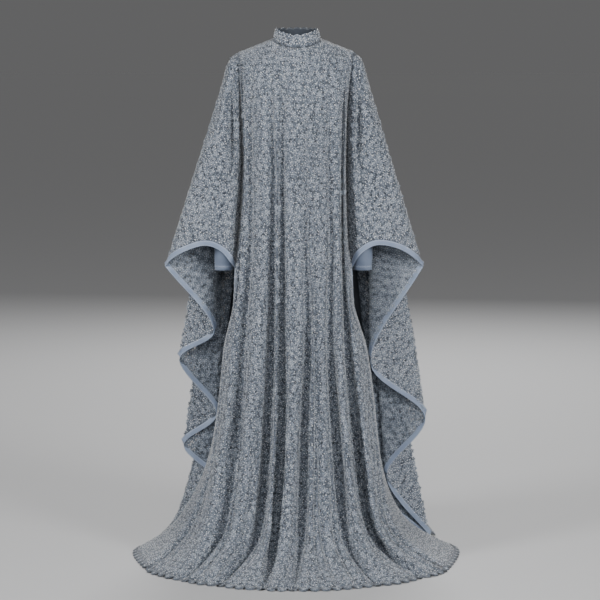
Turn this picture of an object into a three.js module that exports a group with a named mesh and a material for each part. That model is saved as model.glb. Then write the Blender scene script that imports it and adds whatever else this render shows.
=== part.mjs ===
// A worn kaftan of beaded flower lace over a slate lining. It is floor length, with a high
// collar, wide wing sleeves bound in satin ribbon, and narrow satin under-sleeves.
// Millimetres, X to the viewer's right, -Y to the front, +Z up.
// The origin is between the shoulders, where the wearer holds the garment up.
import * as THREE from 'three';

// Driving sizes
const shoulderHeight = 1450;
const laceWall = 1.8;
const satinWall = 1.4;
const bindingWall = 1.6;
const seamGap = 0.3;
const cutGap = 0.5;
const zigzagGap = 2.5;
const overarmPart = 0.7;
const bindingWidth = 15;
const hemEdging = 20;
const scallopWidth = 32;
const hemClearance = 1.6;
const neckHalfWidth = 66;
const neckFront = 62;
const neckBack = 56;
const neckSideHeight = 1480;
const neckFrontDrop = 27;
const neckBackDrop = 8;
const frontRoundness = 2.2;
const backRoundness = 3.2;
const floorRoundness = 2;
const roundBelow = 250;

// Colours of the finishes
const finishes = {
  lace: { color: '#7d858f', roughness: 0.8, metalness: 0 },
  satin: { color: '#8b98ab', roughness: 0.4, metalness: 0 },
};

// Heights above the floor at which the folds are placed. The first is the top edge.
const levels = [1441, 1410, 1300, 1100, 900, 820, 720, 600, 450, 250, 100, 40, 0];

// The body's rings: half width, depth in front, depth behind and depth of the folds
const rings = {
  half: [180, 178, 168, 165, 180, 190, 205, 228, 250, 285, 340, 425, 491],
  front: [70, 88, 128, 124, 136, 143, 152, 168, 190, 235, 305, 395, 490],
  back: [70, 86, 115, 115, 130, 144, 165, 200, 245, 310, 385, 455, 520],
  fold: [0, 2, 5, 10, 16, 19, 22, 26, 33, 40, 40, 26, 9],
};

// Where the flare between the last two heights has got to at 40 mm above the floor
const flareAtForty = 0.48;

// The front's folds from the left side to the right. deep is 0 on a ridge. x is given at each
// height but the one at 40 mm, and the side lines give y too.
const frontFolds = [
  { line: 'side', x: [-165, -163, -158, -155, -169, -177, -181, -206, -214, -246, -279, -295],
    y: [0, -44, -44, -18, -22, -32, -10, 96, 109, 126, 142, 150] },
  { line: 'turn', x: [-161, -160, -155, -150, -163, -170, -180, -208, -222, -262, -338, -470],
    y: [-1, -49, -54, -38, -42, -54, -44, 36, 44, 48, 52, 60] },
  { line: 'groove', deep: 1.2, x: [-156, -156, -150, -145, -158, -164, -176, -203, -219, -249, -306, -425] },
  { line: 'ridge', deep: 0, x: [-147, -147, -143, -142, -153, -158, -166, -184, -195, -231, -263, -372] },
  { line: 'groove', deep: 0.7, x: [-128, -130, -130, -130, -132, -137, -146, -156, -165, -185, -217, -324] },
  { line: 'ridge', deep: 0, x: [-104, -101, -100, -100, -100, -103, -109, -118, -130, -150, -179, -270] },
  { line: 'groove', deep: 1.0, x: [-64, -72, -72, -66, -69, -70, -70, -74, -81, -92, -116, -222] },
  { line: 'ridge', deep: 0, x: [-50, -56, -57, -56, -56, -56, -56, -57, -58, -69, -84, -150] },
  { line: 'groove', deep: 0.8, x: [-36, -40, -40, -42, -42, -42, -43, -43, -43, -52, -63, -95] },
  { line: 'ridge', deep: 0, x: [-18, -20, -20, -20, -18, -16, -14, -13, -16, -25, -38, -62] },
  { line: 'groove', deep: 0.6, x: [18, 22, 23, 23, 24, 26, 29, 29, 23, 17, 10, -12] },
  { line: 'ridge', deep: 0, x: [34, 38, 39, 40, 41, 43, 45, 44, 42, 40, 40, 46] },
  { line: 'ridge', deep: 0.2, x: [50, 52, 52, 52, 52, 53, 54, 56, 62, 70, 76, 118] },
  { line: 'groove', deep: 0.9, x: [66, 90, 92, 92, 97, 95, 92, 94, 103, 119, 136, 225] },
  { line: 'ridge', deep: 0, x: [104, 114, 117, 117, 118, 119, 120, 124, 133, 152, 181, 290] },
  { line: 'groove', deep: 1.2, x: [130, 132, 129, 127, 130, 134, 137, 142, 157, 177, 208, 350] },
  { line: 'ridge', deep: 0, x: [141, 139, 133, 130, 133, 138, 148, 165, 182, 205, 237, 385] },
  { line: 'groove', deep: 1.2, x: [149, 146, 137, 133, 136, 143, 155, 190, 212, 237, 280, 425] },
  { line: 'turn', x: [155, 151, 140, 136, 141, 149, 160, 198, 220, 244, 332, 468],
    y: [-1, -46, -50, -40, -44, -56, -42, 36, 46, 52, 62, 70] },
  { line: 'side', x: [160, 154, 143, 141, 147, 157, 163, 196, 214, 226, 280, 333],
    y: [0, -40, -40, -20, -24, -34, -8, 96, 108, 118, 148, 168] },
];

// The back's side seams and the first fold beside each, at the same heights
const backSides = {
  left: {
    seam: { x: [-165, -160, -151, -155, -171, -181, -192, -206, -214, -246, -279, -295],
      y: [0, 40, 75, 88, 96, 98, 98, 96, 109, 126, 142, 150] },
    turn: { x: [-160, -156, -146, -148, -166, -182, -202, -226, -254, -303, -356, -440],
      y: [0, 44, 82, 98, 112, 118, 124, 132, 152, 178, 205, 232] },
  },
  right: {
    seam: { x: [160, 155, 146, 150, 164, 173, 183, 196, 214, 226, 280, 333],
      y: [0, 40, 75, 88, 96, 98, 98, 96, 108, 118, 148, 168] },
    turn: { x: [155, 151, 141, 143, 160, 175, 196, 220, 256, 306, 372, 445],
      y: [0, 44, 82, 98, 112, 118, 124, 132, 152, 182, 212, 240] },
  },
};

// The back's folds, as parts of its half width, with their depth
const backFolds = [
  { at: -0.74, deep: 0.8 }, { at: -0.63, deep: 0 }, { at: -0.51, deep: 1.1 }, { at: -0.39, deep: 0 },
  { at: -0.27, deep: 0.8 }, { at: -0.13, deep: 0 }, { at: 0.02, deep: 1.2 }, { at: 0.16, deep: 0 },
  { at: 0.29, deep: 0.7 }, { at: 0.41, deep: 0 }, { at: 0.53, deep: 1.1 }, { at: 0.64, deep: 0 },
  { at: 0.74, deep: 0.8 },
];

// Heights of the rows of every panel, from the shoulder to the hem
const rowHeights = [
  1441, 1410, 1355, 1295, 1225, 1145, 1060, 980, 900, 831, 775,
  720, 660, 600, 530, 450, 370, 290, 210, 140, 85, 40, 0,
];
const armholeRows = 9;

// Where each wing's hind edge meets the body seam, above the floor
const cascadeEnd = { left: 210, right: 85 };

// The wing sleeve's lines in front, from the body seam to the overarm. x and y are given at
// these parts of each line's length, from its height at the shoulder to its height at the edge.
const wingParts = [0, 0.06, 0.24, 0.46, 0.7, 1];
const wingFront = {
  left: [
    { from: 1438, to: 852, x: [-169, -171, -170, -169, -178, -190], y: [0, -46, -60, -58, -58, -58] },
    { from: 1436, to: 880, x: [-173, -181, -184, -181, -190, -214], y: [0, -46, -55, -50, -54, -60] },
    { from: 1433, to: 897, x: [-178, -188, -199, -208, -226, -256], y: [0, -43, -56, -60, -62, -58] },
    { from: 1430, to: 883, x: [-182, -194, -210, -236, -268, -309], y: [0, -35, -47, -50, -50, -45] },
    { from: 1427, to: 857, x: [-186, -199, -221, -260, -306, -355], y: [0, -20, -27, -30, -30, -25] },
  ],
  right: [
    { from: 1438, to: 867, x: [164, 163, 158, 156, 162, 175], y: [0, -44, -58, -58, -58, -58] },
    { from: 1436, to: 891, x: [167, 173, 175, 171, 180, 205], y: [0, -46, -55, -50, -54, -60] },
    { from: 1433, to: 899, x: [171, 180, 188, 197, 214, 238], y: [0, -43, -56, -60, -62, -58] },
    { from: 1430, to: 885, x: [175, 187, 203, 226, 256, 293], y: [0, -35, -47, -50, -50, -45] },
    { from: 1427, to: 857, x: [178, 191, 213, 250, 291, 336], y: [0, -20, -27, -30, -30, -25] },
  ],
};

// The wing sleeve's folds behind, from the overarm to the body seam. They end on a zigzag edge.
const wingBackParts = [0, 0.08, 0.25, 0.5, 0.75, 1];
const wingBack = {
  left: [
    { from: 1425, to: 832, x: [-188, -203, -235, -282, -329, -376], y: [0, 0, 0, 0, 0, 0] },
    { from: 1427, to: 644, x: [-185, -194, -206, -221, -230, -238], y: [0, 50, 56, 55, 50, 34] },
    { from: 1430, to: 552, x: [-181, -196, -224, -265, -303, -341], y: [0, 58, 66, 70, 73, 75] },
    { from: 1433, to: 390, x: [-177, -185, -195, -211, -222, -234], y: [0, 62, 78, 86, 92, 100] },
    { from: 1437, to: 292, x: [-172, -182, -210, -254, -291, -332], y: [0, 66, 88, 105, 121, 138] },
  ],
  right: [
    { from: 1425, to: 832, x: [180, 195, 226, 270, 315, 360], y: [0, 0, 0, 0, 0, 0] },
    { from: 1427, to: 549, x: [177, 186, 197, 207, 210, 212], y: [0, 50, 56, 55, 52, 42] },
    { from: 1430, to: 381, x: [174, 188, 218, 276, 332, 373], y: [0, 58, 66, 72, 78, 84] },
    { from: 1433, to: 202, x: [170, 178, 190, 212, 236, 262], y: [0, 62, 78, 88, 98, 112] },
    { from: 1437, to: 12, x: [166, 176, 204, 258, 318, 392], y: [0, 66, 90, 112, 136, 166] },
  ],
};

// The under-sleeves' rings from the upper arm to the wrist
const underSleeves = {
  left: { x: [-170, -179, -189, -201, -205, -208], y: [0, 0, 0, 0, -5, -8], from: 1365,
    height: [1365, 1300, 1230, 1080, 930, 824], radius: [33, 37, 40, 37, 31, 26] },
  right: { x: [161.3, 170.3, 180, 190, 187, 187], y: [0, 0, 0, 0, -5, -8], from: 1365,
    height: [1365, 1300, 1230, 1080, 930, 824], radius: [33, 37, 40, 37, 31, 26] },
};
const underSleeveSides = 16;

// The stand collar: heights of its upper edge, and its rings
const collar = {
  columns: 36, scallopDepth: 5, topSide: 1508, topFront: 1491, topBack: 1511,
  topHalfWidth: 59, topFrontDepth: 55, topBackDepth: 51, foot: 1.4,
};

// A smooth curve through values placed at rising keys
function follow(keys, values, at) {
  const last = keys.length - 1;
  let i = 0;
  while (i < last - 1 && at > keys[i + 1]) i += 1;
  const slope = (a, b) => (values[b] - values[a]) / (keys[b] - keys[a]);
  const span = keys[i + 1] - keys[i];
  const startSlope = i > 0 ? slope(i - 1, i + 1) : slope(0, 1);
  const endSlope = i < last - 1 ? slope(i, i + 2) : slope(last - 1, last);
  const f = (at - keys[i]) / span;
  const g = 1 - f;
  return g * g * (1 + 2 * f) * values[i] + f * f * (3 - 2 * f) * values[i + 1]
    + span * f * g * (g * startSlope - f * endSlope);
}

// Drops below the shoulder rise down the garment, so they serve as keys
const levelDrops = levels.map((height) => levels[0] - height);

function atHeight(values, height) {
  return follow(levelDrops, values, levels[0] - height);
}

// A row of twelve values gets its thirteenth, 40 mm above the floor
function withFlare(values) {
  const near = values.slice(0, -1);
  const hem = values[values.length - 1];
  const above = near[near.length - 1];
  return [...near, above + (hem - above) * flareAtForty, hem];
}

// How far round the ring a point stands out at x, from 1 in the middle to 0 at the side
function ringShare(x, height, roundness) {
  const half = atHeight(rings.half, height);
  const power = floorRoundness + (roundness - floorRoundness) * Math.min(height / roundBelow, 1);
  const side = Math.min(Math.abs(x) / half, 0.995);
  return (1 - side ** power) ** (1 / power);
}

// The top edge of a panel: the neckline inside the neck's half width, else the shoulder seam
function topEdge(x, facing) {
  const side = Math.abs(x) / neckHalfWidth;
  if (side >= 1) {
    return new THREE.Vector3(x, 0, neckSideHeight - (Math.abs(x) - neckHalfWidth) * 0.4);
  }
  const round = Math.sqrt(1 - side * side);
  const depth = facing < 0 ? neckFront : neckBack;
  const drop = facing < 0 ? neckFrontDrop : neckBackDrop;
  return new THREE.Vector3(x, facing * depth * round, neckSideHeight - drop * round);
}

// A panel's fold line as a function of height. facing is -1 in front and 1 behind.
function foldLine(x, y, deep, facing) {
  return (height) => {
    const px = atHeight(x, height);
    if (height >= levels[0]) {
      return topEdge(px, facing);
    }
    if (y) {
      return new THREE.Vector3(px, atHeight(y, height), height);
    }
    const depth = atHeight(facing < 0 ? rings.front : rings.back, height);
    const roundness = facing < 0 ? frontRoundness : backRoundness;
    const out = depth * ringShare(px, height, roundness) - deep * atHeight(rings.fold, height);
    return new THREE.Vector3(px, facing * out, height);
  };
}

function sideLine(row) {
  return foldLine(withFlare(row.x), withFlare(row.y), 0, 1);
}

const backLines = [
  sideLine(backSides.left.seam),
  sideLine(backSides.left.turn),
  ...backFolds.map((fold) => foldLine(rings.half.map((half) => half * fold.at), null, fold.deep, 1)),
  sideLine(backSides.right.turn),
  sideLine(backSides.right.seam),
];

// Below the slits the front's sides follow the back's side seams
const slitEnd = 600;
const frontLines = frontFolds.map((fold, i) => {
  const own = foldLine(withFlare(fold.x), fold.y && withFlare(fold.y), fold.deep, -1);
  if (fold.line !== 'side') return own;
  const seam = i === 0 ? backLines[0] : backLines[backLines.length - 1];
  return (height) => (height <= slitEnd ? seam(height) : own(height));
});

// A wing's line as a function of its part of the way down
function wingLine(row, parts) {
  return (part) => new THREE.Vector3(
    follow(parts, row.x, part), follow(parts, row.y, part), row.from + (row.to - row.from) * part,
  );
}

// A grid of points from lines, each sampled at its own stations, with steps columns a fold
function netOf(lines, stations, steps) {
  const rows = stations.map((station) => {
    const knots = lines.map((line) => line(station));
    const places = [0];
    for (let k = 1; k < knots.length; k += 1) {
      places.push(places[k - 1] + Math.sqrt(knots[k].distanceTo(knots[k - 1])));
    }
    const row = [];
    for (let c = 0; c <= (lines.length - 1) * steps; c += 1) {
      const k = Math.min(Math.floor(c / steps), lines.length - 2);
      const at = places[k] + (places[k + 1] - places[k]) * (c / steps - k);
      row.push(new THREE.Vector3(
        follow(places, knots.map((p) => p.x), at),
        follow(places, knots.map((p) => p.y), at),
        follow(places, knots.map((p) => p.z), at),
      ));
    }
    return row;
  });
  return rows;
}

// Moves a point towards another by a distance
function towards(point, other, distance) {
  const way = new THREE.Vector3().subVectors(other, point).normalize();
  return point.clone().addScaledVector(way, distance);
}

// How far a wall stops short of a seam, from the angle at which the walls meet there
function stopShort(own, others) {
  let widest = seamGap / 2;
  for (const other of others) {
    const half = own.angleTo(other) / 2;
    const need = seamGap / Math.sin(half) + 1.8 * laceWall / 2 / Math.tan(half);
    widest = Math.max(widest, need);
  }
  return widest;
}

const inward = (grid, row, column, step) => {
  return new THREE.Vector3().subVectors(grid[row][column + step], grid[row][column]);
};

// Ends of two or three grids on one seam are drawn back along their own rows
function partAlongSeam(ends) {
  const ways = ends.map(({ grid, atEnd, rows }) => rows.map((row) => {
    const column = atEnd ? grid[0].length - 1 : 0;
    return inward(grid, row, column, atEnd ? -1 : 1).normalize();
  }));
  ends.forEach(({ grid, atEnd, rows }, e) => {
    rows.forEach((row, r) => {
      const others = ways.filter((_, o) => o !== e).map((way) => way[r]);
      const column = atEnd ? grid[0].length - 1 : 0;
      const distance = stopShort(ways[e][r], others);
      grid[row][column].addScaledVector(ways[e][r], distance);
    });
  });
}

// The way out of a grid at one of its points
function normalAt(grid, r, c, closedRound = false) {
  const columns = grid[0].length;
  const before = closedRound ? (c + columns - 1) % columns : Math.max(c - 1, 0);
  const after = closedRound ? (c + 1) % columns : Math.min(c + 1, columns - 1);
  const along = new THREE.Vector3().subVectors(grid[r][after], grid[r][before]);
  const lower = grid[Math.min(r + 1, grid.length - 1)][c];
  const down = new THREE.Vector3().subVectors(lower, grid[Math.max(r - 1, 0)][c]);
  return new THREE.Vector3().crossVectors(down, along).normalize();
}

// The last stretch of a grid, of one width, parted from the rest: the grid keeps the rest.
// Both sides of the cut keep one normal, so their rims lie side by side.
function takeEdge(grid, width, gap) {
  const last = grid.length - 1;
  const strip = [[], []];
  const normals = grid[last].map((_, c) => normalAt(grid, last, c));
  grid[last] = grid[last].map((edge, c) => {
    const above = grid[last - 1][c];
    const kept = towards(edge, above, width + gap);
    strip[0].push(towards(edge, above, width));
    strip[1].push(edge.clone());
    for (const point of [kept, strip[0][c], strip[1][c]]) {
      point.normal = normals[c];
    }
    return kept;
  });
  return strip;
}

// A closed wall on both sides of a grid of points
function wall(grid, thickness, closedRound = false) {
  const rows = grid.length;
  const columns = grid[0].length;
  const position = [];
  const wrap = (c) => (closedRound ? c % columns : c);
  for (const side of [1, -1]) {
    for (let r = 0; r < rows; r += 1) {
      for (let c = 0; c < columns; c += 1) {
        const normal = grid[r][c].normal ?? normalAt(grid, r, c, closedRound);
        const p = grid[r][c].clone().addScaledVector(normal, side * thickness / 2);
        position.push(p.x, p.y, Math.max(p.z, hemClearance / 4) - shoulderHeight);
      }
    }
  }
  const index = [];
  const at = (side, r, c) => side * rows * columns + r * columns + wrap(c);
  const quad = (a, b, c, d) => index.push(a, b, c, a, c, d);
  const spans = closedRound ? columns : columns - 1;
  for (let r = 0; r < rows - 1; r += 1) {
    for (let c = 0; c < spans; c += 1) {
      quad(at(0, r, c), at(0, r + 1, c), at(0, r + 1, c + 1), at(0, r, c + 1));
      quad(at(1, r, c), at(1, r, c + 1), at(1, r + 1, c + 1), at(1, r + 1, c));
    }
  }
  for (let c = 0; c < spans; c += 1) {
    quad(at(0, 0, c), at(0, 0, c + 1), at(1, 0, c + 1), at(1, 0, c));
    quad(at(0, rows - 1, c), at(1, rows - 1, c), at(1, rows - 1, c + 1), at(0, rows - 1, c + 1));
  }
  if (!closedRound) {
    for (let r = 0; r < rows - 1; r += 1) {
      quad(at(0, r + 1, 0), at(0, r, 0), at(1, r, 0), at(1, r + 1, 0));
      quad(at(0, r, columns - 1), at(0, r + 1, columns - 1), at(1, r + 1, columns - 1), at(1, r, columns - 1));
    }
  }
  return closedMesh(position, index);
}

// Turns the faces outwards where the grid ran the other way
function closedMesh(position, index) {
  let volume = 0;
  const corner = (i) => new THREE.Vector3().fromArray(position, 3 * i);
  for (let i = 0; i < index.length; i += 3) {
    const a = corner(index[i]);
    volume += a.dot(corner(index[i + 1]).cross(corner(index[i + 2]))) / 6;
  }
  if (volume < 0) {
    index.reverse();
  }
  const geometry = new THREE.BufferGeometry();
  geometry.setAttribute('position', new THREE.Float32BufferAttribute(position, 3));
  geometry.setIndex(index);
  geometry.computeVertexNormals();
  return geometry;
}

const kaftan = new THREE.Group();
kaftan.name = 'kaftan';

function addPiece(name, geometry, finish) {
  const mesh = new THREE.Mesh(geometry, new THREE.MeshStandardMaterial(finishes[finish]));
  mesh.name = name;
  kaftan.add(mesh);
}

// The grids of the panels and of the wings
const front = netOf(frontLines, rowHeights, 2);
const back = netOf(backLines, rowHeights, 2);
front[0] = front[0].map((point) => topEdge(point.x, -1));
back[0] = back[0].map((point) => topEdge(point.x, 1));

// Heights become parts of a line's length, counted to the end of the seam they share
const armholeStations = rowHeights.slice(0, armholeRows + 1);
const armholeEnd = armholeStations[armholeRows];

function heightPart(height, end) {
  return (rowHeights[0] - height) / (rowHeights[0] - end);
}

function wingGrids(side) {
  const bodyFront = side === 'left' ? frontLines[0] : frontLines[frontLines.length - 1];
  const bodyBack = side === 'left' ? backLines[0] : backLines[backLines.length - 1];
  const overarm = wingLine(wingBack[side][0], wingBackParts);
  const inFront = wingFront[side].map((row) => wingLine(row, wingParts));
  const behind = wingBack[side].slice(1).map((row) => wingLine(row, wingBackParts));
  const frontParts = (line) => (height) => line(heightPart(height, armholeEnd));
  const backParts = (line) => (height) => line(heightPart(height, cascadeEnd[side]));
  const cascadeStations = rowHeights.slice(0, rowHeights.indexOf(cascadeEnd[side]) + 1);
  return {
    inFront: netOf(
      [bodyFront, ...inFront.map(frontParts), frontParts(overarm)], armholeStations, 2,
    ),
    behind: netOf([backParts(overarm), ...behind.map(backParts), bodyBack], cascadeStations, 3),
  };
}

const wings = { left: wingGrids('left'), right: wingGrids('right') };

// Seams: every wall stops short of the line that it shares with its neighbours
const allRows = rowHeights.map((_, r) => r);
const sideSeamRow = rowHeights.indexOf(slitEnd);
const sleeveRows = allRows.slice(0, armholeRows + 1);
const upperRows = allRows.slice(0, sideSeamRow);
for (const side of ['left', 'right']) {
  const onLeft = side === 'left';
  const { inFront, behind } = wings[side];
  partAlongSeam([
    { grid: front, atEnd: !onLeft, rows: sleeveRows },
    { grid: inFront, atEnd: false, rows: sleeveRows },
  ]);
  partAlongSeam([
    { grid: back, atEnd: !onLeft, rows: upperRows },
    { grid: behind, atEnd: true, rows: upperRows },
  ]);
  const threeRows = allRows.slice(sideSeamRow, behind.length);
  partAlongSeam([
    { grid: back, atEnd: !onLeft, rows: threeRows },
    { grid: behind, atEnd: true, rows: threeRows },
    { grid: front, atEnd: !onLeft, rows: threeRows },
  ]);
  const twoRows = allRows.slice(behind.length);
  partAlongSeam([
    { grid: back, atEnd: !onLeft, rows: twoRows },
    { grid: front, atEnd: !onLeft, rows: twoRows },
  ]);
  // The overarm seam, where the rows of the two walls lie at other heights
  const overarmStop = (point, next) => Math.min(2.6, 0.5 * point.distanceTo(next));
  inFront.forEach((row) => {
    const end = row.length - 1;
    row[end] = towards(row[end], row[end - 1], overarmStop(row[end], row[end - 1]));
    row[end].y -= overarmPart;
  });
  behind.forEach((row) => {
    row[0] = towards(row[0], row[1], overarmStop(row[0], row[1]));
    row[0].y += overarmPart;
  });
}

// The shoulder seams and the neckline: the top rows come down by this much
const shoulderStop = 2.2;
for (const grid of [front, back, wings.left.inFront, wings.left.behind, wings.right.inFront, wings.right.behind]) {
  grid[0] = grid[0].map((point, c) => towards(point, grid[1][c], shoulderStop));
}

// The satin ribbon is the last stretch of each wing, and of the front's free side edges
const bindings = [];
const bindingStop = 5;
function drawEndsIn(rows, distance) {
  for (const row of rows) {
    const end = row.length - 1;
    row[0].copy(towards(row[0], row[1], distance));
    row[end].copy(towards(row[end], row[end - 1], distance));
  }
  return rows;
}
for (const side of ['left', 'right']) {
  const { inFront, behind } = wings[side];
  for (const [name, grid, gap] of [['front', inFront, cutGap], ['back', behind, zigzagGap]]) {
    const strip = drawEndsIn(takeEdge(grid, bindingWidth, gap), bindingStop);
    bindings.push({ name: `binding_${name}_${side}`, strip });
  }
}

// The hem's lace edging: whole scallops between the panel's own columns
const scallopSteps = 3;
function blend(a, b, share) {
  const point = a.clone().lerp(b, share);
  point.normal = a.normal.clone().lerp(b.normal, share);
  return point;
}
function scallopedHem(grid) {
  const strip = takeEdge(grid, hemEdging, cutGap);
  const rows = [[], []];
  for (let c = 0; c < strip[0].length - 1; c += 1) {
    const width = strip[1][c].distanceTo(strip[1][c + 1]);
    const steps = scallopSteps * Math.max(1, Math.round(width / scallopWidth));
    for (let s = 0; s < steps; s += 1) {
      const upper = blend(strip[0][c], strip[0][c + 1], s / steps);
      const lower = blend(strip[1][c], strip[1][c + 1], s / steps);
      const round = Math.sin(Math.PI * (s % scallopSteps) / scallopSteps);
      rows[0].push(upper);
      rows[1].push(blend(upper, lower, 0.25 + 0.75 * round));
    }
  }
  rows[0].push(strip[0].at(-1));
  rows[1].push(blend(strip[0].at(-1), strip[1].at(-1), 0.25));
  return rows;
}

addPiece('hem_edging_front', wall(scallopedHem(front), laceWall), 'lace');
addPiece('hem_edging_back', wall(scallopedHem(back), laceWall), 'lace');
addPiece('front_panel', wall(front, laceWall), 'lace');
addPiece('back_panel', wall(back, laceWall), 'lace');
for (const side of ['left', 'right']) {
  addPiece(`sleeve_front_${side}`, wall(wings[side].inFront, laceWall), 'lace');
  addPiece(`sleeve_back_${side}`, wall(wings[side].behind, laceWall), 'lace');
}
for (const { name, strip } of bindings) {
  addPiece(name, wall(strip, bindingWall), 'satin');
}

// The collar: rows from its foot on the neckline to its scalloped upper edge
function collarGrid() {
  const rows = [[], [], []];
  for (let c = 0; c < collar.columns; c += 1) {
    const angle = 2 * Math.PI * c / collar.columns;
    const facing = Math.sin(angle) < 0 ? -1 : 1;
    const toFront = Math.abs(Math.sin(angle));
    const foot = topEdge(neckHalfWidth * 0.999 * Math.cos(angle), facing);
    foot.z += collar.foot;
    const depth = facing < 0 ? collar.topFrontDepth : collar.topBackDepth;
    const middle = facing < 0 ? collar.topFront : collar.topBack;
    const height = collar.topSide + (middle - collar.topSide) * toFront ** 2;
    const top = new THREE.Vector3(
      collar.topHalfWidth * Math.cos(angle), depth * Math.sin(angle),
      height - (c % 2 ? collar.scallopDepth : 0),
    );
    rows[0].push(foot);
    rows[1].push(foot.clone().lerp(top, 0.5));
    rows[2].push(top);
  }
  return rows;
}
addPiece('collar', wall(collarGrid(), laceWall, true), 'lace');

// The under-sleeves: rings square to the arm's line, from the upper arm to the wrist
const underSleeveRows = [1365, 1320, 1270, 1210, 1140, 1060, 980, 900, 824];
function underSleeveGrid({ x, y, height, radius }) {
  const drops = height.map((value) => height[0] - value);
  const along = (values, at) => follow(drops, values, height[0] - at);
  return underSleeveRows.map((at) => {
    const ring = [];
    for (let s = 0; s < underSleeveSides; s += 1) {
      const angle = 2 * Math.PI * s / underSleeveSides;
      const r = along(radius, at);
      ring.push(new THREE.Vector3(
        along(x, at) + r * Math.cos(angle), along(y, at) + r * Math.sin(angle), at,
      ));
    }
    return ring;
  });
}
for (const side of ['left', 'right']) {
  addPiece(`under_sleeve_${side}`, wall(underSleeveGrid(underSleeves[side]), satinWall, true), 'satin');
}

export default kaftan;
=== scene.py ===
import math

import bpy
import numpy as np
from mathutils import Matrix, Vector


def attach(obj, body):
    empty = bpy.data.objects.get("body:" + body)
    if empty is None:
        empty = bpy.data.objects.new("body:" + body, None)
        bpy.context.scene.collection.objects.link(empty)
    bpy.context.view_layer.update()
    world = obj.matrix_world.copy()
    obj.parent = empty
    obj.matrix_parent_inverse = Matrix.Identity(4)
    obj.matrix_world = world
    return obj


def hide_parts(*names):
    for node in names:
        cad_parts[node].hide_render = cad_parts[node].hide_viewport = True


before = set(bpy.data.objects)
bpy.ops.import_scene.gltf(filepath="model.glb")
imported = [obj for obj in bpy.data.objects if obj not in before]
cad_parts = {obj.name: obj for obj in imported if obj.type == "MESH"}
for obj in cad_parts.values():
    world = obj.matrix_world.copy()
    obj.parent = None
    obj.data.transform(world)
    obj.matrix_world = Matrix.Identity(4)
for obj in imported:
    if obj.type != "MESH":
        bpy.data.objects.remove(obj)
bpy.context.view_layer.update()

# Sizes are in millimetres, and heights are above the floor. Shares, roundness and counts are
# plain numbers.
MM = 0.001
SHOULDER_HEIGHT = 1450
NECK_HALF_WIDTH = 66
NECK_FRONT = 62
NECK_BACK = 56
NECK_SIDE_HEIGHT = 1480
NECK_FRONT_DROP = 27
NECK_BACK_DROP = 8
SHOULDER_SLOPE = 0.4
FRONT_ROUNDNESS = 2.2
BACK_ROUNDNESS = 3.2
FLOOR_ROUNDNESS = 2
ROUND_BELOW = 250
WIDEST_SHARE = 0.995
SLIT_END = 600
FLARE_AT_FORTY = 0.48
FLOOR_CLEARANCE = 0.8
RIBBON_WIDTH = 15
RIBBON_STEPS = 4
FLOWER_STEP = 20
FLOWER_REACH = 8.4
BEAD_STEP = 10
RIBBON_WALL = 1.8
HEM_EDGING = 20
CREASE_WIDTH = 6
CREASE_SPREAD = 0.14
LEFT_SIDE_LINES = 4
RIGHT_SIDE_LINES = 5
OUTER_SPANS = 2
FINE_WANDER = 6
FINE_WANDER_LENGTH = 160
FINE_WAX_LENGTH = 210
GROOVE_DEPTH = 11
GROOVE_WIDTH = 7
GROOVE_HEIGHT = 1240
GROOVE_LENGTH = 130
WING_COLUMNS = 8
CASCADE_COLUMNS = 10
SCALLOP_WIDTH = 32
HEM_LIFT = 1.2
LACE_WALL = 0.9
SATIN_WALL = 0.9
NET_WALL = 0.5

# The folds, at these heights
LEVELS = [1441, 1410, 1300, 1100, 900, 820, 720, 600, 450, 250, 100, 40, 0]
RINGS = {
    "half": [180, 178, 168, 165, 180, 190, 205, 228, 250, 285, 340, 425, 491],
    "front": [70, 88, 128, 124, 136, 143, 152, 168, 190, 235, 305, 395, 490],
    "back": [70, 86, 115, 115, 130, 144, 165, 200, 245, 310, 385, 455, 520],
    "fold": [0, 2, 5, 10, 16, 19, 22, 26, 33, 40, 40, 26, 9],
    "crease": [0, 2, 6, 11, 14, 17, 20, 24, 29, 34, 35, 26, 10],
    "side": [0.35, 0.35, 0.35, 0.35, 0.35, 0.35, 0.35, 0.4, 0.6, 0.9, 1, 1, 1],
    "fine": [0.2, 0.2, 0.2, 0.22, 0.22, 0.22, 0.24, 0.26, 0.3, 0.38, 0.45, 0.5, 0.5],
}

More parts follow.
